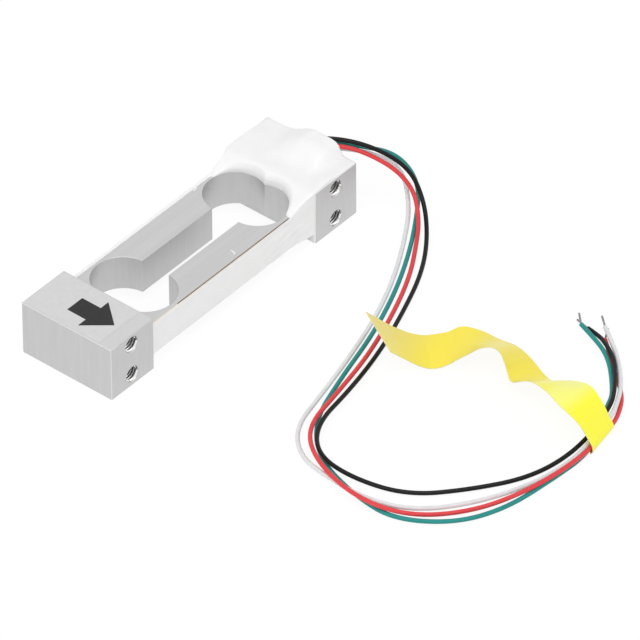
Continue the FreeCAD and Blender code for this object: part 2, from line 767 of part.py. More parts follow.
for obj in doc.Objects:
    if "Invalid" in obj.State or "Error" in obj.State:
        raise ValueError(f"{obj.Name} failed: {obj.State}")
os.makedirs("parts", exist_ok=True)
for node in nodes:
    shape = node.Shape
    if shape.isNull() or not shape.isValid() or not shape.Solids:
        raise ValueError(f"{node.Label} is not a valid solid")
    shape.exportStep(f"parts/{node.Label}.step")
    print(f"{node.Label}: {len(shape.Solids)} solid, {shape.Volume:.3f} mm3")
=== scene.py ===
# %% [markdown]
# # A strain gauge load cell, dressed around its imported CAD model
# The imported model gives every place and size, in metres. Each cell below takes one piece or one
# finish: what it is on the real object, how it could be made, and why it is made this way.

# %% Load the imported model
import bpy
import math
from mathutils import Matrix, Vector, noise


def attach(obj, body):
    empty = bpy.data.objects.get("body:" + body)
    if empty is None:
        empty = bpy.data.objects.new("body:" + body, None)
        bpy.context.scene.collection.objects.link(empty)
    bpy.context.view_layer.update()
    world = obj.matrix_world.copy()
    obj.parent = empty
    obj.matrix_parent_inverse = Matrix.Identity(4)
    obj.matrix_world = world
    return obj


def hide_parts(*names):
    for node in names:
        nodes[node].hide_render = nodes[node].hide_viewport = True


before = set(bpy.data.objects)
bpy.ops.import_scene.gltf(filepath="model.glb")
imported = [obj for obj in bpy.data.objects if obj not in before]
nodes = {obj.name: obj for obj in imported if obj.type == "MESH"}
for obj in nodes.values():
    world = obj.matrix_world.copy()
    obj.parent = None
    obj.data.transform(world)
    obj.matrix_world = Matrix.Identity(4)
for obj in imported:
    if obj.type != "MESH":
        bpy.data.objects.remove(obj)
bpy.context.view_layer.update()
MM = 0.001

# %% [markdown]
# The camera comes first, because everything is judged through it. It could be placed by eye, but a
# fit to the block's corners gives its angle, its distance and its focal length, so they are used as
# they are. The picture is square, 640 pixels wide.

# %% Camera
AZIMUTH, ELEVATION, ROLL = (math.radians(a) for a in (-49.96, 40.15, -0.32))
DISTANCE = 3.52306
FOCAL_PIXELS = 10267.75
PICTURE = 640
SENSOR = 36.0
BLOCK_CENTRE = Vector((0, 0, 11 * MM))
CENTRE_PIXEL = (190.726, 257.016)

back = Vector((
    math.sin(AZIMUTH) * math.cos(ELEVATION),
    -math.cos(AZIMUTH) * math.cos(ELEVATION),
    math.sin(ELEVATION),
))
level = (-back).cross(Vector((0, 0, 1))).normalized()
upright = level.cross(-back)
right = math.cos(ROLL) * level + math.sin(ROLL) * upright
up = -math.sin(ROLL) * level + math.cos(ROLL) * upright
across = (CENTRE_PIXEL[0] - PICTURE / 2) / FOCAL_PIXELS * DISTANCE
down = (CENTRE_PIXEL[1] - PICTURE / 2) / FOCAL_PIXELS * DISTANCE
eye = BLOCK_CENTRE + back * DISTANCE - right * across + up * down

camera_data = bpy.data.cameras.new("camera")
camera_data.sensor_width = SENSOR
camera_data.lens = FOCAL_PIXELS * SENSOR / PICTURE
camera_data.clip_start, camera_data.clip_end = 0.1, 50
camera = bpy.data.objects.new("camera", camera_data)
camera.matrix_world = Matrix.Translation(eye) @ Matrix((right, up, back)).transposed().to_4x4()
bpy.context.scene.collection.objects.link(camera)
bpy.context.scene.camera = camera
print("camera at", [round(v, 3) for v in eye], "lens", round(camera_data.lens, 1))

# %% [markdown]
# Four thin insulated leads leave the mound of silicone, fall to the table and run round in one
# loose bundle. A lead is flexible, so it is one smooth NURBS line with a round bevel, and never
# straight runs. The control points are those of the CAD routes, in millimetres. Some, most of them
# near the stripped ends, were then moved to follow the picture more closely.

# %% Leads
LEAD_DIAMETER = 1.6 * MM
LEADS = {
    "black": {
        "exit": (65.5, -5.9, 26.4),
        "length": 359.0,
        "route": [
            (59, 2, 24.8), (64, -5, 26.7), (72, -18.5, 25.6), (80, -31, 17), (79, -39, 6),
            (68.5, -49, 0.8), (53, -59, 0.8), (33.5, -67, 0.8), (11.5, -74.5, 0.8),
            (-11, -80, 1.8), (-32.5, -83.4, 2.8), (-45, -94, 3.2), (-45.5, -110, 1.8),
            (-39.5, -129, 0.8), (-24, -143.5, 1.0), (-5.5, -155.4, 0.8), (15, -159.2, 2.0),
            (37, -154.9, 3.4), (45.5, -150, 3.3), (55, -142.5, 3.3), (59, -138, 3.0),
            (62.5, -132.5, 2.5), (65.5, -127.5, 1.3), (66.7, -121.3, 0.8),
        ],
    },
    "red": {
        "exit": (65.8, -10.8, 24.9),
        "length": 361.0,
        "route": [
            (59.5, -5.5, 25.0), (66.5, -10.5, 25.4), (74.5, -26, 19.6), (78.5, -34.5, 10),
            (73, -41.5, 3.2), (65, -47, 1.0), (50, -56.5, 0.8), (30.5, -65, 0.8),
            (8, -72.5, 0.8), (-15, -78, 2.2), (-36, -82, 3.0), (-48, -95.5, 3.8),
            (-54.5, -118, 4.1), (-48.5, -136.5, 1.6), (-32.5, -151, 1.0), (-13.5, -160, 2.6),
            (10.5, -163, 2.4), (28, -160.5, 1.8), (34.5, -159, 1.2), (40, -156.5, 0.9),
            (45, -153.5, 0.8), (49.5, -149, 0.8), (54.5, -143, 0.8), (58.5, -137.5, 0.8),
            (63, -133, 0.8), (65.8, -129.5, 0.8),
        ],
    },
    "green": {
        "exit": (66.0, -6.6, 24.4),
        "length": 377.5,
        "route": [
            (58.5, -0.6, 24.0), (64.5, -4.8, 24.6), (72.5, -15.5, 22.6), (82.5, -24, 17.5),
            (84.5, -32.5, 7.2), (71.5, -41, 0.8), (55.5, -50.5, 0.8), (37.5, -59.2, 0.8),
            (16.5, -67, 0.9), (-7, -73, 0.8), (-30, -80.2, 0.8), (-44.5, -94.5, 0.8),
            (-51, -116, 0.8), (-52, -133, 0.8), (-40.5, -150, 0.8), (-24, -158.5, 0.8),
            (-3, -161.2, 0.8), (17.5, -162.5, 0.8), (37.5, -152.5, 1.1), (44, -150, 0.8),
            (49.5, -145.5, 0.9), (53.2, -142, 1.4), (56, -139, 1.9), (59.5, -134, 2.4),
            (62.2, -127.7, 2.6), (65.2, -119.5, 2.6),
        ],
    },
    "white": {
        "exit": (66.0, -9.4, 23.0),
        "length": 367.0,
        "route": [
            (58.5, -3.4, 23.9), (65.5, -9, 23.2), (75, -18.2, 19.6), (82, -26.5, 13),
            (76.5, -34.5, 3), (62, -43.8, 0.8), (43.5, -54, 0.8), (24, -62, 0.8),
            (3, -68.2, 0.8), (-18.5, -73.5, 0.8), (-36.5, -77.5, 0.8), (-47, -88, 0.8),
            (-50.5, -102, 2.0), (-52, -121, 3.0), (-44, -136.5, 1.0), (-26.5, -150, 0.8),
            (-6, -158.5, 0.8), (10, -160.4, 0.8), (19, -160, 1.9), (25, -159, 3.2),
            (35, -157.5, 3.1), (40.5, -155, 3.1), (47.5, -151, 2.6), (54, -145.5, 2.3),
            (60, -139.5, 2.1), (64.2, -134.2, 2.1), (69.9, -126.3, 2.0),
        ],
    },
}


def lay_lead(colour, facts):
    """One lead: a single open NURBS spline through the air and over the table."""
    curve = bpy.data.curves.new(f"lead_{colour}_line", "CURVE")
    curve.dimensions = "3D"
    spline = curve.splines.new("NURBS")
    spline.points.add(len(facts["route"]) - 1)
    for point, place in zip(spline.points, facts["route"]):
        point.co = (*(v * MM for v in place), 1)
    spline.order_u = 3
    spline.use_endpoint_u = True
    spline.resolution_u = 10
    curve.bevel_depth = LEAD_DIAMETER / 2
    curve.bevel_resolution = 6
    curve.use_fill_caps = True
    piece = bpy.data.objects.new(f"insulated_lead_{colour}", curve)
    bpy.context.scene.collection.objects.link(piece)
    return piece


leads = {colour: lay_lead(colour, facts) for colour, facts in LEADS.items()}
print("leads:", ", ".join(leads))

# %% [markdown]
# Some tools are used again and again: leave nothing selected, add a primitive at its size, apply a
# modifier, cut one shape out of another. They are small helpers, so that the later cells read like
# the work of a hand.

# %% Helpers for modelling
def leave_all():
    """Nothing is selected, and no mesh is open for editing."""
    if bpy.context.object and bpy.context.object.mode != "OBJECT":
        bpy.ops.object.mode_set(mode="OBJECT")
    bpy.ops.object.select_all(action="DESELECT")


def take(piece):
    """Only this piece is selected, and operators work on it."""
    leave_all()
    piece.select_set(True)
    bpy.context.view_layer.objects.active = piece


def named(name):
    """Name the primitive that was just added, with its place and size in its mesh."""
    piece = bpy.context.object
    piece.name = name
    bpy.ops.object.transform_apply(location=True, rotation=True, scale=True)
    return piece


def box(name, low, high):
    """A box between two corners, in millimetres."""
    leave_all()
    low, high = Vector(low) * MM, Vector(high) * MM
    bpy.ops.mesh.primitive_cube_add(size=1, location=(low + high) / 2)
    bpy.context.object.scale = high - low
    return named(name)


def rod(name, centre, radius, length, sides=128):
    """An upright cylinder, in millimetres; its middle is at centre."""
    leave_all()
    bpy.ops.mesh.primitive_cylinder_add(
        vertices=sides, radius=radius * MM, depth=length * MM, location=Vector(centre) * MM
    )
    return named(name)


def finish_with(piece, kind, **settings):
    """Add a modifier, set it and apply it."""
    take(piece)
    bpy.ops.object.modifier_add(type=kind)
    modifier = piece.modifiers[-1]
    for setting, value in settings.items():
        setattr(modifier, setting, value)
    bpy.ops.object.modifier_apply(modifier=modifier.name)


def cut(piece, *cutters):
    """Cut the cutters out of a piece, and throw the cutters away."""
    for cutter in cutters:
        finish_with(piece, "BOOLEAN", operation="DIFFERENCE", object=cutter, solver="EXACT")
        bpy.data.objects.remove(cutter, do_unlink=True)


def join(pieces, name):
    """Make one object of several."""
    leave_all()
    for piece in pieces:
        piece.select_set(True)
    bpy.context.view_layer.objects.active = pieces[0]
    bpy.ops.object.join()
    pieces[0].name = name
    return pieces[0]


def count(piece):
    return f"{piece.name}: {len(piece.data.polygons)} faces"


def ease(share):
    """0 below 0 and 1 above 1, with a smooth way between them."""
    share = min(max(share, 0.0), 1.0)
    return share * share * (3 - 2 * share)


def ripple(x, y, z, wavelength):
    """Smooth unevenness between -1 and 1, the same at each run."""
    return noise.noise(Vector((x, y, z)) / wavelength)


print("helpers ready")

# %% [markdown]
# The spring element is a milled bar of aluminium: two end blocks, a waist that is stepped on four
# sides, and two bore pairs joined by a slot. The CAD surface is true but its bores are coarse
# facets. The bar is cut again here, with fine cylinders, the way a mill does it. Each cutter
# reaches past the bar, so no cut ends on a face of it.

# %% The milled bar
BAR = (130.0, 40.0, 22.0)
BLOCK = 22.0
WAIST = (4.0, 18.0)
RECESS = 2.0
BORE_RADIUS = 11.2
BORE_X, BORE_Y = 29.7, 5.2
SLOT = 11.8
HALF_LENGTH, HALF_WIDTH = BAR[0] / 2, BAR[1] / 2
STEP = HALF_LENGTH - BLOCK

REACH = 5.0
PAST_SIDE, PAST_TOP = HALF_WIDTH + REACH, BAR[2] + REACH
BAND = HALF_WIDTH - RECESS

bar = box(
    "milled_spring_element", (-HALF_LENGTH, -HALF_WIDTH, 0), (HALF_LENGTH, HALF_WIDTH, BAR[2])
)
cut(
    bar,
    box("top_step", (-STEP, -PAST_SIDE, WAIST[1]), (STEP, PAST_SIDE, PAST_TOP)),
    box("bottom_step", (-STEP, -PAST_SIDE, -REACH), (STEP, PAST_SIDE, WAIST[0])),
    box("front_recess", (-STEP, -PAST_SIDE, -REACH), (STEP, -BAND, PAST_TOP)),
    box("rear_recess", (-STEP, BAND, -REACH), (STEP, PAST_SIDE, PAST_TOP)),
)
for side in (-1, 1):
    for end in (-1, 1):
        cut(bar, rod("bore", (end * BORE_X, side * BORE_Y, BAR[2] / 2), BORE_RADIUS, 2 * BAR[2]))
cut(bar, box("slot", (-BORE_X, -SLOT / 2, -REACH), (BORE_X, SLOT / 2, PAST_TOP)))
print(count(bar))

# %% [markdown]
# Two M6 holes run through each block from front to back, with a countersunk mouth on both faces.
# The cutter for such a hole is turned: a line drawn as its outline is spun about the hole's axis.
# Then all edges are broken by a small bevel that catches the light. Its faces take the second
# material slot: a smoother finish, with a painted highlight in its lighter colour.

# %% The tapped holes
HOLE_X = 54.0
HOLE_Z = (4.4, 17.6)
HOLE_RADIUS = 3.0
RIM_RADIUS = 3.45
HOLE_SIDES = 64
PAST_FACE = 1.0
EDGE_BEVEL = 0.22
SHARP_EDGE = math.radians(32)


def draw_line(name, points):
    """One vertex that is extruded from point to point, in millimetres."""
    leave_all()
    bpy.ops.mesh.primitive_plane_add(size=MM, location=(0, 0, 0))
    bpy.context.object.name = name
    bpy.ops.object.mode_set(mode="EDIT")
    bpy.ops.mesh.merge(type="CENTER")
    bpy.ops.transform.translate(value=Vector(points[0]) * MM)
    for before, after in zip(points, points[1:]):
        move = (Vector(after) - Vector(before)) * MM
        bpy.ops.mesh.extrude_vertices_move(TRANSFORM_OT_translate={"value": move})
    return bpy.context.object


def hole_cutter(x, z):
    narrow = HALF_WIDTH - (RIM_RADIUS - HOLE_RADIUS)
    wide, outside = RIM_RADIUS + PAST_FACE, HALF_WIDTH + PAST_FACE
    outline = [
        (0, -outside, 0), (wide, -outside, 0), (HOLE_RADIUS, -narrow, 0),
        (HOLE_RADIUS, narrow, 0), (wide, outside, 0), (0, outside, 0),
    ]
    cutter = draw_line("hole_cutter", outline)
    bpy.ops.mesh.select_all(action="SELECT")
    bpy.ops.mesh.spin(
        steps=HOLE_SIDES, angle=2 * math.pi, center=(0, 0, 0), axis=(0, 1, 0), use_auto_merge=True
    )
    bpy.ops.mesh.select_all(action="SELECT")
    bpy.ops.mesh.remove_doubles(threshold=0.001 * MM)
    bpy.ops.mesh.normals_make_consistent(inside=False)
    bpy.ops.transform.translate(value=(x * MM, 0, z * MM))
    bpy.ops.object.mode_set(mode="OBJECT")
    return cutter


for x in (-HOLE_X, HOLE_X):
    for z in HOLE_Z:
        cut(bar, hole_cutter(x, z))
take(bar)
bpy.ops.object.mode_set(mode="EDIT")
bpy.ops.mesh.select_all(action="SELECT")
bpy.ops.mesh.remove_doubles(threshold=0.01 * MM)
bpy.ops.object.mode_set(mode="OBJECT")
bpy.ops.object.shade_smooth()
bar.data.materials.append(None)
bar.data.materials.append(None)
finish_with(
    bar, "BEVEL", width=EDGE_BEVEL * MM, segments=2, limit_method="ANGLE",
    angle_limit=SHARP_EDGE, use_clamp_overlap=False, material=1,
)
finish_with(bar, "WEIGHTED_NORMAL", mode="FACE_AREA", weight=50, keep_sharp=False)
print(count(bar))

# %% [markdown]
# The threads are ridges that wind through the holes, one turn a millimetre. A trapezoid that the
# Screw modifier turns and lifts at once is such a ridge, and it stands a little in the wall.

# %% The threads
PITCH = 1.0
CREST_RADIUS = 2.5
ROOT_RADIUS = HOLE_RADIUS + 0.06
HALF_ROOT, HALF_CREST = 0.44, 0.07
THREAD_LENGTH = 38.4
THREAD_STEPS = 36


def thread(x, z):
    outline = [
        (ROOT_RADIUS, -HALF_ROOT, 0), (CREST_RADIUS, -HALF_CREST, 0),
        (CREST_RADIUS, HALF_CREST, 0), (ROOT_RADIUS, HALF_ROOT, 0),
    ]
    ridge = draw_line("thread", outline)
    bpy.ops.mesh.select_all(action="SELECT")
    bpy.ops.mesh.edge_face_add()
    bpy.ops.mesh.delete(type="ONLY_FACE")
    bpy.ops.mesh.select_all(action="SELECT")
    bpy.ops.transform.translate(value=(0, -THREAD_LENGTH / 2 * MM, 0))
    bpy.ops.object.mode_set(mode="OBJECT")
    finish_with(
        ridge, "SCREW", axis="Y", angle=2 * math.pi, screw_offset=PITCH * MM,
        iterations=int(THREAD_LENGTH / PITCH), steps=THREAD_STEPS, render_steps=THREAD_STEPS,
        use_smooth_shade=True,
    )
    bpy.ops.object.mode_set(mode="EDIT")
    bpy.ops.mesh.select_all(action="SELECT")
    bpy.ops.mesh.remove_doubles(threshold=0.0005 * MM)
    bpy.ops.mesh.select_all(action="DESELECT")
    bpy.ops.mesh.select_non_manifold()
    bpy.ops.mesh.fill_holes(sides=8)
    bpy.ops.mesh.select_all(action="SELECT")
    bpy.ops.mesh.normals_make_consistent(inside=False)
    bpy.ops.transform.translate(value=(x * MM, 0, z * MM))
    bpy.ops.object.mode_set(mode="OBJECT")
    return ridge


threads = join([thread(x, z) for x in (-HOLE_X, HOLE_X) for z in HOLE_Z], "hole_threads")
take(threads)
bpy.ops.object.shade_smooth_by_angle(angle=math.radians(40))
print(count(threads))

# %% [markdown]
# White silicone covers the gauges and the terminal board. It was spread on wet, so it has no drawn
# outline: a film over the waist's end and the far block, a thick lip round the bores, a mound where
# the leads come out, and a coat on both waist sides. Each area is a fine grid whose points are
# lifted by a small function and made solid. Sculpting could do it too, but a function says where
# each bead and hollow comes from. The first area is the top.

# %% Silicone over the far block
COAT_START = 31.3
SUNK = 0.8
SKIN = 0.03
MOUND_ACROSS = [
    (-20, 0.3), (-14.2, 0.35), (-12.6, 2.5), (-11.2, 4.4), (-8, 4.85), (-0.5, 4.85), (3.8, 2.9),
    (8, 0.7), (12, 0.2), (20, 0.0),
]
MOUND_TOP = 4.85
BULGE = 0.5
TOP_GRID = (84, 100)
TOP_SINK = (0, 0, -9)


def along_table(table, place):
    """The mean of five readings along straight lines between the rows, which rounds the corners."""
    def read(spot):
        for (a, low), (b, high) in zip(table, table[1:]):
            if spot <= b:
                return low + (high - low) * max((spot - a) / (b - a), 0.0)
        return table[-1][1]
    return sum(read(place + shift) for shift in (-1, -0.5, 0, 0.5, 1)) / 5


def coat_height(x, y):
    """How high the silicone stands at a point of the far block or the waist's end."""
    share = min(max((x - COAT_START) / (STEP - COAT_START), 0.0), 1.0)
    ramp = 0.5 * ease(share) + 0.5 * math.sin(share * math.pi / 2)
    ground = WAIST[1] + (BAR[2] - WAIST[1]) * ramp
    bead = 0.6 * ramp * (1 - ease((x - STEP - 7) / 14))
    front_bead = 0.75 * ease((-y - 14) / 5) * math.exp(-(((x - 49.5) / 4.5) ** 2))
    rise = ease((x - 47) / 13.5)
    mound = along_table(MOUND_ACROSS, y) * rise
    calm = 1 - 0.7 * mound / MOUND_TOP
    lumps = (0.15 * ripple(x, y, 0, 12) + 0.05 * ripple(x, y, 40, 4)) * calm
    full = ground + 0.3 + bead + front_bead + mound + lumps * ramp
    from_rim = min(math.hypot(x - BORE_X, y - side * BORE_Y) for side in (-1, 1)) - BORE_RADIUS
    lip = WAIST[1] + 1.1 + 0.25 * ripple(x, y, 80, 5)
    if full <= lip:
        return full
    return lip + (full - lip) * ease(0.45 + 0.55 * (from_rim + 0.3) / 1.4)


def solid_sheet(name, grid, place, sink):
    """A grid whose points are put in place by a function, extruded along sink into a solid."""
    leave_all()
    bpy.ops.mesh.primitive_grid_add(x_subdivisions=grid[0], y_subdivisions=grid[1], size=1)
    sheet = bpy.context.object
    sheet.name = name
    for vertex in sheet.data.vertices:
        vertex.co = Vector(place(vertex.co.x + 0.5, vertex.co.y + 0.5)) * MM
    bpy.ops.object.mode_set(mode="EDIT")
    bpy.ops.mesh.select_all(action="SELECT")
    bpy.ops.mesh.extrude_region_move(TRANSFORM_OT_translate={"value": Vector(sink) * MM})
    bpy.ops.mesh.select_all(action="SELECT")
    bpy.ops.mesh.normals_make_consistent(inside=False)
    bpy.ops.object.mode_set(mode="OBJECT")
    return sheet


CREASES = [
    (15.6, 0.01, 0.38), (13.1, 0.07, 0.42), (11.2, 0.13, 0.34), (8.6, 0.18, 0.38), (6.2, 0.12, 0.26)
]
FLARE_START = {-1: 31.5, 1: 38.5}


def side_depth(x, z, side):
    """How far the silicone stands out of the waist's side; it widens to the block at the end."""
    middle = 1 - abs(z - 11) / 6.9
    depth = 0.58 + 0.3 * ease(middle) + 0.07 * ripple(x, 0, z, 12)
    start = FLARE_START[side]
    flare = ease((x - start) / (STEP - start)) ** 1.5
    depth += (RECESS - depth - SKIN) * flare
    near_far_end = ease((x - 8) / 16)
    for height, slope, deep in CREASES:
        line = height + slope * (x - STEP) + 0.5 * math.sin(x / 5 + height)
        depth -= deep * near_far_end * math.exp(-(((z - line) / 0.5) ** 2)) * (1 - 0.75 * flare)
    return depth


def over_block(u, v):
    """Where a grid point of the top lies; the mound bulges a little past the block's end."""
    x = COAT_START + (HALF_LENGTH - 0.05 - COAT_START) * u
    side = 1 if v > 0.5 else -1
    half = BAND + side_depth(x, WAIST[1] - 1, side) if x < STEP else HALF_WIDTH - SKIN
    y = half * (2 * v - 1)
    height = coat_height(x, y)
    bulge = BULGE * ease((height - BAR[2] - 1.5) / 2.5) * ease((x - 60) / 5)
    return x + bulge, y, height


LIP_RADIUS = BORE_RADIUS - 0.35
LIP_WAVES = 0.022

top = solid_sheet("silicone_top", TOP_GRID, over_block, TOP_SINK)
for side in (-1, 1):
    bore = rod("lip_cutter", (BORE_X, side * BORE_Y, 20), LIP_RADIUS, 30, sides=160)
    for vertex in bore.data.vertices:
        x, y = vertex.co.x / MM - BORE_X, vertex.co.y / MM - side * BORE_Y
        swell = 1 + LIP_WAVES * ripple(x, y, 7 * side, 4.5)
        vertex.co.x, vertex.co.y = (BORE_X + x * swell) * MM, (side * BORE_Y + y * swell) * MM
    cut(top, bore)
print(count(top))

# %% [markdown]
# On the waist's sides the silicone is a thin coat that was dragged along, so it has long creases
# and widens towards the far block. The rear one stands a little above the edge and hides its strip.
# A small plate at each corner covers the step between waist and block.

# %% Silicone on the waist sides
COAT_BOTTOM = 4.2
COAT_TOP = {"front": 17.8, "rear": 18.6}
EDGE_COVER = 0.25
CORNER_HALF = 0.6
CORNER_WIDTH = (15, HALF_WIDTH - SKIN)
CORNER_HEIGHT = (0.3, 22.2)
SIDE_GRID = (216, 34)
SIDE_SINK = 6
FAR_PAST, HIGH_PAST = 60, 40


def waist_side(side, coat_top):
    def place(u, v):
        x = -STEP + (2 * STEP + CORNER_HALF) * u
        z = COAT_BOTTOM + (coat_top - COAT_BOTTOM) * v
        return x, side * (BAND + side_depth(x, z, side)), z
    return place


sides = []
for name, side in (("front", -1), ("rear", 1)):
    place = waist_side(side, COAT_TOP[name])
    coat = solid_sheet(f"silicone_{name}", SIDE_GRID, place, (0, -side * SIDE_SINK, 0))
    inner, edge = BAND - SUNK, BAND - EDGE_COVER
    cut(
        coat,
        box("flexure_core", (-FAR_PAST, -inner, -REACH), (FAR_PAST, inner, HIGH_PAST)),
        box("waist_top", (-FAR_PAST, -edge, WAIST[1]), (COAT_START, edge, HIGH_PAST)),
    )
    near, far = sorted(side * reach for reach in CORNER_WIDTH)
    corner = box(
        f"corner_{name}", (STEP - CORNER_HALF, near, CORNER_HEIGHT[0]),
        (STEP + CORNER_HALF, far, CORNER_HEIGHT[1]),
    )
    sides += [coat, corner]
print(len(sides), "side pieces")

# %% [markdown]
# A voxel remesh melts the areas into one skin. It is then cut free of the metal, so that it lies on
# the bar as a shell, and smoothing rounds every edge, as the wet silicone did.

# %% The silicone as one skin
FIRST_VOXEL, LAST_VOXEL = 0.34, 0.36
ROUND_BORE = BORE_RADIUS + 0.15
BORE_DEPTH = 2 * WAIST[1] + 0.1

PAST_END = 80
inner, core_end = BAND - SUNK, STEP + SUNK
core_low, core_high = WAIST[0] + SUNK / 2, WAIST[1] - SUNK

sealant = join([top] + sides, "silicone_coat")
finish_with(sealant, "REMESH", mode="VOXEL", voxel_size=FIRST_VOXEL * MM, use_smooth_shade=True)
cut(
    sealant,
    box("waist_core", (-FAR_PAST, -inner, core_low), (core_end, inner, core_high)),
    box("block_core", (core_end, -PAST_SIDE, -REACH), (PAST_END, PAST_SIDE, BAR[2] - SUNK)),
    rod("far_front_bore", (BORE_X, -BORE_Y, 0), ROUND_BORE, BORE_DEPTH),
    rod("far_rear_bore", (BORE_X, BORE_Y, 0), ROUND_BORE, BORE_DEPTH),
)
finish_with(sealant, "REMESH", mode="VOXEL", voxel_size=LAST_VOXEL * MM, use_smooth_shade=True)
finish_with(sealant, "SMOOTH", factor=0.5, iterations=5)
take(sealant)
bpy.ops.object.shade_smooth()
print(count(sealant))

# %% [markdown]
# Two small smears of silicone were left on the waist when it was spread. A flattened, uneven drop
# is enough for each.

# %% Smears
def smear(name, place, sizes, turn):
    leave_all()
    bpy.ops.mesh.primitive_ico_sphere_add(subdivisions=4, radius=1)
    drop = bpy.context.object
    for vertex in drop.data.vertices:
        x, y, z = vertex.co
        swell = 1 + 0.45 * ripple(x, y, z + place[0], 0.8)
        bend = 0.35 * x * x
        across = y * swell * sizes[1] + bend * sizes[0]
        vertex.co = (x * swell * sizes[0] * MM, across * MM, z * sizes[2] * MM)
    drop.rotation_euler.z = math.radians(turn)
    drop.location = Vector(place) * MM
    bpy.ops.object.shade_smooth()
    return named(name)


smears = [
    smear("silicone_smear_rear", (22.8, 17.0, 18.0), (2.0, 0.4, 0.22), 20),
    smear("silicone_smear_front", (5.0, -15.1, 18.0), (1.6, 0.34, 0.16), 70),
]
print([count(s) for s in smears])

# %% [markdown]
# The marker tape is a strip of yellow vinyl, folded round the four leads and stuck to itself, and
# its long flag stands in waves. Its two long edges are smooth Bezier lines. Bridged, they give the
# ribbon its true width and twist everywhere, which bending a flat strip would not. Its loose end is
# cut askew and stays hidden under the flag. The rim shows the paler middle of the vinyl.

# %% Marker tape
WRAP_CENTRE = Vector((23.2, -159.0, 0))
WRAP_ALONG = Vector((0.984, 0.18, 0)).normalized()
WRAP_OUT = Vector((0.18, -0.984, 0)).normalized()
TAPE_HALF = 7.4
TAPE_THICKNESS = 0.22
TAPE_CUTS = 9
FLOOR_FOLD = 0.32
FAR_WRAP = [
    (TAPE_HALF, -0.8, 4.4), (TAPE_HALF, -2.4, 4.2), (TAPE_HALF, -3.2, 2.8),
    (TAPE_HALF, -2.6, FLOOR_FOLD), (TAPE_HALF, 2.4, FLOOR_FOLD), (TAPE_HALF, 3.3, 1.8),
]
NEAR_WRAP = [
    (1.4, -0.8, 3.8), (1.2, -2.7, 3.3), (1.0, -3.5, 2.0), (0.6, -2.6, FLOOR_FOLD),
    (-TAPE_HALF, 2.4, FLOOR_FOLD), (-TAPE_HALF, 3.3, 1.9),
]
FAR_EDGE = [
    (31.5, -158.5, 5), (32, -156, 8), (32.5, -153, 10.5), (34, -149, 11), (36, -141.5, 8),
    (37, -133.5, 3.5), (37, -129.5, 1.3), (38, -125, 1.2), (39.5, -120.5, 2), (40, -115.5, 4),
    (40, -111, 5), (39, -106, 5.2), (36.2, -97, 7.2), (34, -92, 7), (31, -88.8, 5),
    (28.5, -85, 3.5), (25, -81.5, 3.5), (18.5, -76, 8), (12, -72, 15), (9, -70.5, 18.4),
]
NEAR_EDGE = [
    (17, -160.3, 6.5), (17.5, -156.5, 9.5), (18, -152, 11), (19, -147, 11.5),
    (22, -138.5, 11.5), (24, -130, 9.7), (24.2, -126.5, 7.7), (23.9, -122, 5.5),
    (25.5, -119.3, 6.5), (26.5, -117, 9.5), (27.5, -113.5, 12), (26.3, -109.5, 12.2),
    (22.8, -103.5, 7.8), (21.4, -100.5, 5), (20, -98, 2.5), (16.7, -94.3, 0.8),
    (14.5, -92, 1.4), (9.5, -87.5, 6), (6.5, -86, 9.2), (4.4, -85.2, 11.4),
]


def tape_edge(name, wrap, flag):
    """One long edge of the tape; it is sharp only where the tape is pressed on the table."""
    folded = [
        WRAP_CENTRE + WRAP_ALONG * along + WRAP_OUT * out + Vector((0, 0, z))
        for along, out, z in wrap
    ]
    curve = bpy.data.curves.new(name, "CURVE")
    curve.dimensions = "3D"
    spline = curve.splines.new("BEZIER")
    places = folded + [Vector(p) for p in flag]
    spline.bezier_points.add(len(places) - 1)
    for point, place in zip(spline.bezier_points, places):
        point.co = place * MM
        kind = "VECTOR" if place.z <= FLOOR_FOLD else "AUTO"
        point.handle_left_type = point.handle_right_type = kind
    spline.resolution_u = 8
    line = bpy.data.objects.new(name, curve)
    bpy.context.scene.collection.objects.link(line)
    take(line)
    bpy.ops.object.convert(target="MESH")
    return bpy.context.object


tape = join(
    [tape_edge("far_edge", FAR_WRAP, FAR_EDGE), tape_edge("near_edge", NEAR_WRAP, NEAR_EDGE)],
    "yellow_marker_tape",
)
bpy.ops.object.mode_set(mode="EDIT")
bpy.ops.mesh.select_all(action="SELECT")
bpy.ops.mesh.bridge_edge_loops(number_cuts=TAPE_CUTS, interpolation="LINEAR")
bpy.ops.object.mode_set(mode="OBJECT")
both_sides = 2 * len(tape.data.polygons)
finish_with(tape, "SOLIDIFY", thickness=TAPE_THICKNESS * MM, offset=0)
for face in tape.data.polygons[both_sides:]:
    face.material_index = 1
take(tape)
bpy.ops.object.shade_smooth_by_angle(angle=math.radians(50))
print(count(tape))

# %% [markdown]
# The end of each lead is stripped, and its seven tinned strands are twisted. One strand is a small
# circle that the Screw modifier winds round the axis. It is copied round the axis, and a straight
# strand fills the middle. Stripping bends a thin wire, so each tip has a direction of its own.

# %% Bare tips
STRAND_RADIUS = 0.13
STRAND_SIDES = 12
FROM_MIDDLE = 2.02 * STRAND_RADIUS
TWIST = math.radians(290)
TWIST_STEPS = 28
TIP_LENGTH = 6.0
TIP_SUNK = 0.2
TIP_OUT = {
    "black": (0.22, 0.98, 0), "red": (0.88, 0.47, 0),
    "green": (0.7, 0.71, 0), "white": (0.65, 0.76, 0),
}


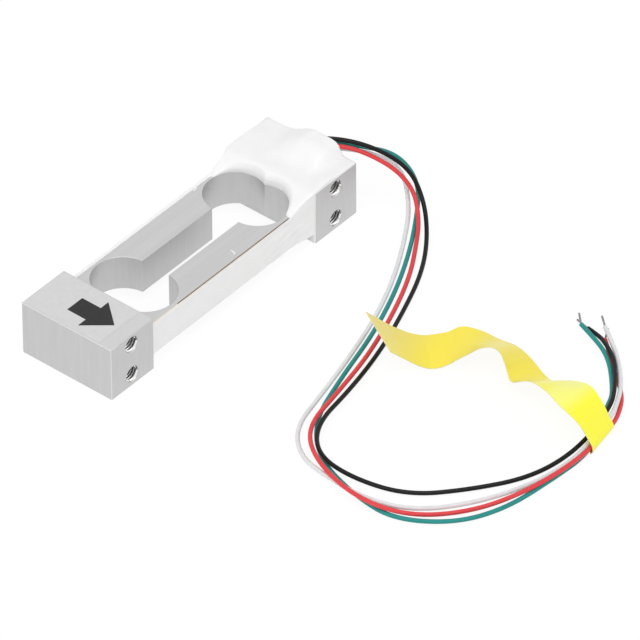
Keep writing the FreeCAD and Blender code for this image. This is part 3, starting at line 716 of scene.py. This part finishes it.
def strand(turn):
    """One strand, turned about the tip's axis; the middle one has no turn and is straight."""
    leave_all()
    bpy.ops.mesh.primitive_circle_add(vertices=STRAND_SIDES, radius=STRAND_RADIUS * MM)
    piece = bpy.context.object
    bpy.ops.object.mode_set(mode="EDIT")
    bpy.ops.mesh.select_all(action="SELECT")
    if turn is None:
        bpy.ops.mesh.edge_face_add()
        bpy.ops.mesh.extrude_region_move(TRANSFORM_OT_translate={"value": (0, 0, TIP_LENGTH * MM)})
    else:
        bpy.ops.transform.translate(value=(FROM_MIDDLE * MM, 0, 0))
        bpy.ops.object.mode_set(mode="OBJECT")
        finish_with(
            piece, "SCREW", axis="Z", angle=TWIST, screw_offset=TIP_LENGTH * MM,
            steps=TWIST_STEPS, render_steps=TWIST_STEPS, use_smooth_shade=True,
        )
        bpy.ops.object.mode_set(mode="EDIT")
        bpy.ops.mesh.select_all(action="DESELECT")
        bpy.ops.mesh.select_non_manifold()
        bpy.ops.mesh.fill_holes(sides=0)
    bpy.ops.mesh.select_all(action="SELECT")
    bpy.ops.mesh.normals_make_consistent(inside=False)
    bpy.ops.object.mode_set(mode="OBJECT")
    if turn is not None:
        piece.rotation_euler.z = turn
        bpy.ops.object.transform_apply(location=False, rotation=True, scale=False)
    return piece


def bare_tip(colour):
    strands = [strand(None)] + [strand(math.radians(60 * i)) for i in range(6)]
    tip = join(strands, f"bare_strands_{colour}")
    end = Vector(LEADS[colour]["route"][-1]) * MM
    out = Vector(TIP_OUT[colour]).normalized()
    tip.rotation_mode = "QUATERNION"
    tip.rotation_quaternion = out.to_track_quat("Z", "Y")
    tip.location = end - out * TIP_SUNK * MM
    take(tip)
    bpy.ops.object.transform_apply(location=True, rotation=True, scale=True)
    bpy.ops.object.shade_smooth_by_angle(angle=math.radians(40))
    return tip


tips = {colour: bare_tip(colour) for colour in LEADS}
print([count(t) for t in tips.values()])

# %% [markdown]
# Finishes. A colour is written as it looks on a screen, 0 to 255, and turned into light. Every
# pattern reads Object coordinates, so it is fixed to the piece.

# %% Helpers for finishes
def paint(red, green, blue):
    """A screen colour as Blender's linear light."""
    def linear(value):
        value /= 255
        return value / 12.92 if value <= 0.04045 else ((value + 0.055) / 1.055) ** 2.4
    return (linear(red), linear(green), linear(blue), 1)


class Finish:
    """A material under construction: its tree, its shader and its Object coordinates."""

    def __init__(self, name, colour, roughness, **more):
        self.material = bpy.data.materials.new(name)
        self.material.use_nodes = True
        self.tree = self.material.node_tree
        self.shader = self.tree.nodes["Principled BSDF"]
        self.shader.inputs["Base Color"].default_value = colour
        self.shader.inputs["Roughness"].default_value = roughness
        for socket, value in more.items():
            self.shader.inputs[socket.replace("_", " ")].default_value = value
        coordinates = self.tree.nodes.new("ShaderNodeTexCoord")
        self.place, self.normal = coordinates.outputs["Object"], coordinates.outputs["Normal"]

    def node(self, kind, inputs=(), **settings):
        made = self.tree.nodes.new(kind)
        for setting, value in settings.items():
            setattr(made, setting, value)
        for socket, value in dict(inputs).items():
            if isinstance(value, bpy.types.NodeSocket):
                self.tree.links.new(value, made.inputs[socket])
            else:
                made.inputs[socket].default_value = value
        return made

    def stretched(self, scale):
        """Object coordinates that are scaled along each axis."""
        return self.node("ShaderNodeMapping", {"Vector": self.place, "Scale": scale}).outputs[0]

    def grain(self, scale, detail=4.0, where=None):
        """A noise pattern between 0 and 1."""
        inputs = {
            "Vector": where or self.place, "Scale": scale, "Detail": detail, "Roughness": 0.55
        }
        return self.node("ShaderNodeTexNoise", inputs).outputs["Fac"]

    def shades(self, factor, dark, light):
        """A pattern turned into two shades of one colour."""
        ramp = self.node("ShaderNodeValToRGB", {"Fac": factor})
        first, last = ramp.color_ramp.elements
        first.position, first.color = 0.3, dark
        last.position, last.color = 0.7, light
        return ramp.outputs["Color"]

    def span(self, value, low, high, to_low=0.0, to_high=1.0):
        """A value moved from one range to another, with a smooth way between."""
        inputs = {
            "Value": value, "From Min": low, "From Max": high, "To Min": to_low, "To Max": to_high
        }
        made = self.node("ShaderNodeMapRange", inputs, interpolation_type="SMOOTHSTEP")
        return made.outputs["Result"]

    def colour(self, socket):
        self.tree.links.new(socket, self.shader.inputs["Base Color"])

    def rough(self, socket):
        self.tree.links.new(socket, self.shader.inputs["Roughness"])

    def bump(self, height, strength, distance):
        made = self.node(
            "ShaderNodeBump", {"Height": height, "Strength": strength, "Distance": distance}
        )
        self.tree.links.new(made.outputs["Normal"], self.shader.inputs["Normal"])

    def axes(self):
        return self.node("ShaderNodeSeparateXYZ", {"Vector": self.place}).outputs

    def mixed(self, factor, first, second):
        made = self.node("ShaderNodeMix", data_type="RGBA")
        self.tree.links.new(factor, made.inputs["Factor"])
        colour_inputs = [s for s in made.inputs if s.type == "RGBA"]
        for socket, value in zip(colour_inputs, (first, second)):
            if isinstance(value, bpy.types.NodeSocket):
                self.tree.links.new(value, socket)
            else:
                socket.default_value = value
        return next(s for s in made.outputs if s.type == "RGBA")


print("finish helpers ready")

# %% [markdown]
# Milled aluminium is a soft grey mirror: metallic, fairly rough, with fine cutter lines. They run
# along the bar on its top, and up and down in the bores, so two stretched patterns share the work,
# and the direction in which a face looks picks one of them. The blocks' tops look a little lighter.
# The broken edges are smoother and carry a painted highlight, lightest at the near end, and the
# tapped threads are the brightest metal.

# %% Aluminium
aluminium = Finish("milled_aluminium", paint(202, 202, 202), 0.43, Metallic=0.85)
along_bar = aluminium.grain(1, where=aluminium.stretched((14, 700, 700)))
up_wall = aluminium.grain(1, where=aluminium.stretched((900, 900, 60)))
facing = aluminium.node("ShaderNodeSeparateXYZ", {"Vector": aluminium.normal}).outputs["Z"]
looks_up = aluminium.span(facing, 0.3, 0.8)
both_ways = {"Factor": looks_up, "A": up_wall, "B": along_bar}
lines = aluminium.node("ShaderNodeMix", both_ways).outputs[0]
milled = aluminium.shades(lines, paint(198, 198, 198), paint(205, 205, 205))
block_top = aluminium.span(aluminium.axes()[2], 21.5 * MM, 21.9 * MM)
aluminium.colour(aluminium.mixed(block_top, milled, paint(208, 208, 208)))
aluminium.rough(aluminium.span(lines, 0.3, 0.7, 0.41, 0.46))
aluminium.bump(aluminium.grain(2200, detail=3), 0.05, 0.02 * MM)

# Painted highlight: the bevel's colour turns lighter towards the near end.
smooth_edge_highlight = Finish("smooth_edge_painted_highlight", paint(206, 206, 206), 0.3, Metallic=0.85)
near_end = smooth_edge_highlight.span(smooth_edge_highlight.axes()[0], -60 * MM, -64 * MM)
smooth_edge_highlight.colour(smooth_edge_highlight.mixed(near_end, paint(198, 198, 198), paint(222, 222, 222)))

tapped = Finish("tapped_aluminium", paint(232, 232, 232), 0.15, Metallic=1.0)
tapped.colour(tapped.shades(tapped.grain(1500), paint(222, 222, 222), paint(242, 242, 242)))

# %% [markdown]
# The silicone is white with a soft waxy gloss. Light sinks into it a little, as far in red as in
# blue, so it stays neutral. Along the front top edge of the waist the amber strip shines through
# as a cream tint.

# %% Silicone
silicone = Finish(
    "white_silicone", paint(249, 249, 248), 0.42, Subsurface_Weight=0.25, Subsurface_Scale=1.5 * MM,
)
silicone.shader.inputs["Subsurface Radius"].default_value = (1.0, 1.0, 1.0)
pale = silicone.shades(silicone.grain(160, detail=3), paint(245, 245, 246), paint(250, 250, 251))
x_axis, y_axis, z_axis = silicone.axes()
near_top = silicone.span(z_axis, 17.1 * MM, 17.9 * MM)
outside = silicone.span(y_axis, -17.6 * MM, -18.1 * MM)
along_strip = silicone.span(x_axis, 30 * MM, 22 * MM)
glow = silicone.node("ShaderNodeMath", {0: near_top, 1: outside}, operation="MULTIPLY").outputs[0]
glow = silicone.node("ShaderNodeMath", {0: glow, 1: along_strip}, operation="MULTIPLY").outputs[0]
silicone.colour(silicone.mixed(glow, pale, paint(240, 228, 212)))
silicone.bump(silicone.grain(500), 0.15, 0.05 * MM)

# %% [markdown]
# The tape is glossy yellow vinyl, a little duller towards its free end, with a painted highlight: a
# brighter yellow on the part nearer the wrap and a paler one where the loop bends most. It has tiny
# unevenness from the glue under it. The leads have a smooth, slightly glossy insulation. The pieces
# inside get plain finishes of their own, in case the silicone is taken off.

# %% Tape, insulation and small finishes
vinyl = Finish("yellow_vinyl", paint(252, 236, 60), 0.32, Coat_Weight=0.25, Coat_Roughness=0.2)
tape_y = vinyl.axes()[1]
dull = vinyl.span(tape_y, -90 * MM, -74 * MM)
# Painted highlight: from here towards the wrap the yellow is brighter.
highlight_zone = vinyl.span(tape_y, -124 * MM, -134 * MM)
yellow = vinyl.mixed(highlight_zone, paint(249, 231, 70), paint(255, 250, 48))
dull_end_and_highlight = vinyl.mixed(dull, yellow, paint(238, 220, 104))
# Painted highlight: a paler yellow where the loop bends most.
before_bend = vinyl.span(tape_y, -135 * MM, -142 * MM)
after_bend = vinyl.span(tape_y, -153 * MM, -146 * MM)
highlight_at_bend = {0: before_bend, 1: after_bend}
bend = vinyl.node("ShaderNodeMath", highlight_at_bend, operation="MULTIPLY").outputs[0]
vinyl.colour(vinyl.mixed(bend, dull_end_and_highlight, paint(255, 255, 118)))
vinyl.bump(vinyl.grain(350, detail=3), 0.1, 0.1 * MM)
tape_rim = Finish("tape_rim", paint(226, 218, 176), 0.5)
tape_rim.colour(tape_rim.shades(tape_rim.grain(600), paint(214, 206, 170), paint(236, 230, 196)))

INSULATION = {
    "black": (8, 8, 8), "red": (222, 66, 70), "green": (36, 138, 133), "white": (225, 225, 227)
}
insulation = {}
for colour, shade in INSULATION.items():
    finish = Finish(f"insulation_{colour}", paint(*shade), 0.4, Specular_IOR_Level=0.22)
    lighter = paint(*(min(255, s + 8) for s in shade))
    finish.colour(finish.shades(finish.grain(300), paint(*shade), lighter))
    finish.bump(finish.grain(1500), 0.08, 0.02 * MM)
    insulation[colour] = finish

tinned = Finish("tinned_strands", paint(160, 157, 154), 0.3, Metallic=1.0)
tinned.colour(tinned.shades(tinned.grain(2500), paint(130, 127, 124), paint(186, 183, 180)))

label = Finish("label_film", paint(212, 212, 212), 0.5, Metallic=0.45)
label.colour(label.shades(label.grain(500), paint(209, 209, 209), paint(215, 215, 215)))
label.bump(label.grain(900), 0.05, 0.02 * MM)
ink = Finish("arrow_ink", paint(34, 34, 34), 0.5, Specular_IOR_Level=0.3)
ink.colour(ink.shades(ink.grain(1200, detail=5), paint(29, 29, 29), paint(40, 40, 40)))
amber = Finish("strip_film", paint(104, 84, 64), 0.4)
amber.colour(amber.shades(amber.grain(400), paint(88, 70, 54), paint(126, 104, 82)))
carrier = Finish("gauge_film", paint(190, 140, 70), 0.35)
carrier.colour(carrier.shades(carrier.grain(500), paint(182, 130, 60), paint(200, 152, 84)))
foil = Finish("gauge_foil", paint(190, 186, 176), 0.3, Metallic=1.0)
foil.colour(foil.shades(foil.grain(2000), paint(176, 172, 160), paint(204, 200, 192)))
copper = Finish("enamelled_copper", paint(176, 88, 46), 0.3, Metallic=0.8)
copper.colour(copper.shades(copper.grain(1500), paint(160, 76, 38), paint(190, 100, 56)))
board = Finish("board", paint(40, 96, 60), 0.5)
board.colour(board.shades(board.grain(900), paint(34, 84, 52), paint(48, 108, 70)))
chip = Finish("resistor", paint(40, 40, 42), 0.45)
chip.colour(chip.shades(chip.grain(2000), paint(34, 34, 36), paint(52, 52, 54)))
solder = Finish("solder", paint(186, 188, 190), 0.28, Metallic=1.0)
solder.colour(solder.shades(solder.grain(1500), paint(170, 172, 174), paint(204, 206, 208)))
print(len(bpy.data.materials), "materials")

# %% [markdown]
# Each new piece rides on the one body and stands for the CAD node that it replaces. CAD nodes that
# stay keep their shape and get their finish here.

# %% Pieces on the frame
def dress(piece, finish, slot, *replaced):
    if piece.material_slots:
        piece.material_slots[0].material = finish.material
    else:
        piece.data.materials.append(finish.material)
    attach(piece, "root")
    if replaced:
        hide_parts(*replaced)


dress(bar, aluminium, "aluminium", "spring_element")
bar.material_slots[1].material = smooth_edge_highlight.material
dress(threads, tapped, "aluminium")
dress(sealant, silicone, "white_silicone", "sealant")
for drop in smears:
    dress(drop, silicone, "white_silicone")
dress(tape, vinyl, "yellow_tape", "marker_tape")
tape.data.materials.append(tape_rim.material)
for colour, tip in tips.items():
    dress(tip, tinned, "tinned_strands", f"bare_tip_{colour}")
for colour, lead in leads.items():
    dress(lead, insulation[colour], f"insulation_{colour}", f"lead_{colour}")

KEPT = {
    "direction_label": label, "arrow_mark": ink, "flex_strip": amber, "gauge_carrier": carrier,
    "gauge_grid": foil, "bridge_wires": copper, "terminal_board": board, "trim_resistor": chip,
    "solder_joints": solder,
}
for node_name, node in nodes.items():
    for start, finish in KEPT.items():
        if node_name.startswith(start):
            for material_slot in node.material_slots:
                material_slot.material = finish.material

# %% [markdown]
# A plain studio: a pale floor that keeps the object's shadow, a background that is white for the
# camera, mirrors and glass and dimmer as a light, and large soft lamps. For the camera the floor is
# mostly its own light, which keeps it white to the picture's edge, and partly a matte surface,
# which shows the shadow.

# %% Floor, background and lamps
FLOOR_SIZE = 12
FLOOR_LEVEL = -0.0002
FLOOR_GREY = (0.9, 0.9, 0.9, 1)
FLOOR_GLOW = 1.03
GLOW_SHARE = 0.88
WORLD_LIGHT = 0.61


def seen(tree):
    """1 for rays from the camera, from gloss or through glass, and 0 for the rest."""
    path = tree.nodes.new("ShaderNodeLightPath")
    total = path.outputs["Is Camera Ray"]
    for more in ("Is Glossy Ray", "Is Transmission Ray"):
        add = tree.nodes.new("ShaderNodeMath")
        add.operation = "ADD"
        add.use_clamp = True
        tree.links.new(total, add.inputs[0])
        tree.links.new(path.outputs[more], add.inputs[1])
        total = add.outputs[0]
    return total


leave_all()
bpy.ops.mesh.primitive_plane_add(size=FLOOR_SIZE, location=(0, 0, FLOOR_LEVEL))
floor = bpy.context.object
floor.name = "floor"
floor_material = bpy.data.materials.new("pale_floor")
floor_material.use_nodes = True
tree = floor_material.node_tree
tree.nodes.clear()
matte = tree.nodes.new("ShaderNodeBsdfDiffuse")
matte.inputs["Color"].default_value = FLOOR_GREY
glowing = tree.nodes.new("ShaderNodeEmission")
glowing.inputs["Strength"].default_value = FLOOR_GLOW
share = tree.nodes.new("ShaderNodeMath")
share.operation = "MULTIPLY"
share.inputs[1].default_value = GLOW_SHARE
tree.links.new(seen(tree), share.inputs[0])
both = tree.nodes.new("ShaderNodeMixShader")
output = tree.nodes.new("ShaderNodeOutputMaterial")
tree.links.new(share.outputs[0], both.inputs["Fac"])
tree.links.new(matte.outputs[0], both.inputs[1])
tree.links.new(glowing.outputs[0], both.inputs[2])
tree.links.new(both.outputs[0], output.inputs["Surface"])
floor.data.materials.append(floor_material)

world = bpy.data.worlds.new("studio")
bpy.context.scene.world = world
world.use_nodes = True
tree = world.node_tree
background = tree.nodes["Background"]
background.inputs["Color"].default_value = (1, 1, 1, 1)
strength = tree.nodes.new("ShaderNodeMapRange")
strength.inputs["To Min"].default_value = WORLD_LIGHT
strength.inputs["To Max"].default_value = 1.0
tree.links.new(seen(tree), strength.inputs["Value"])
tree.links.new(strength.outputs["Result"], background.inputs["Strength"])


def lamp(name, place, aim, side, power):
    """A square soft lamp of that side in metres and that power in watts, turned to its aim."""
    light = bpy.data.lights.new(name, "AREA")
    light.size = side
    light.energy = power
    piece = bpy.data.objects.new(name, light)
    piece.location = place
    piece.rotation_mode = "QUATERNION"
    piece.rotation_quaternion = (Vector(aim) - Vector(place)).to_track_quat("-Z", "Y")
    bpy.context.scene.collection.objects.link(piece)


MIDDLE = (0, -0.05, 0)
lamp("key_lamp", (-0.4, -0.5, 1.5), MIDDLE, 1.2, 9)
lamp("left_lamp", (-1.5, 0.1, 0.8), MIDDLE, 1.0, 5)
lamp("right_lamp", (0.8, -1.4, 0.7), MIDDLE, 1.0, 1.9)
bpy.context.scene.view_settings.view_transform = "Standard"
print("stage ready")

# %% [markdown]
# Last, nothing is left selected.

# %% Nothing left selected
leave_all()
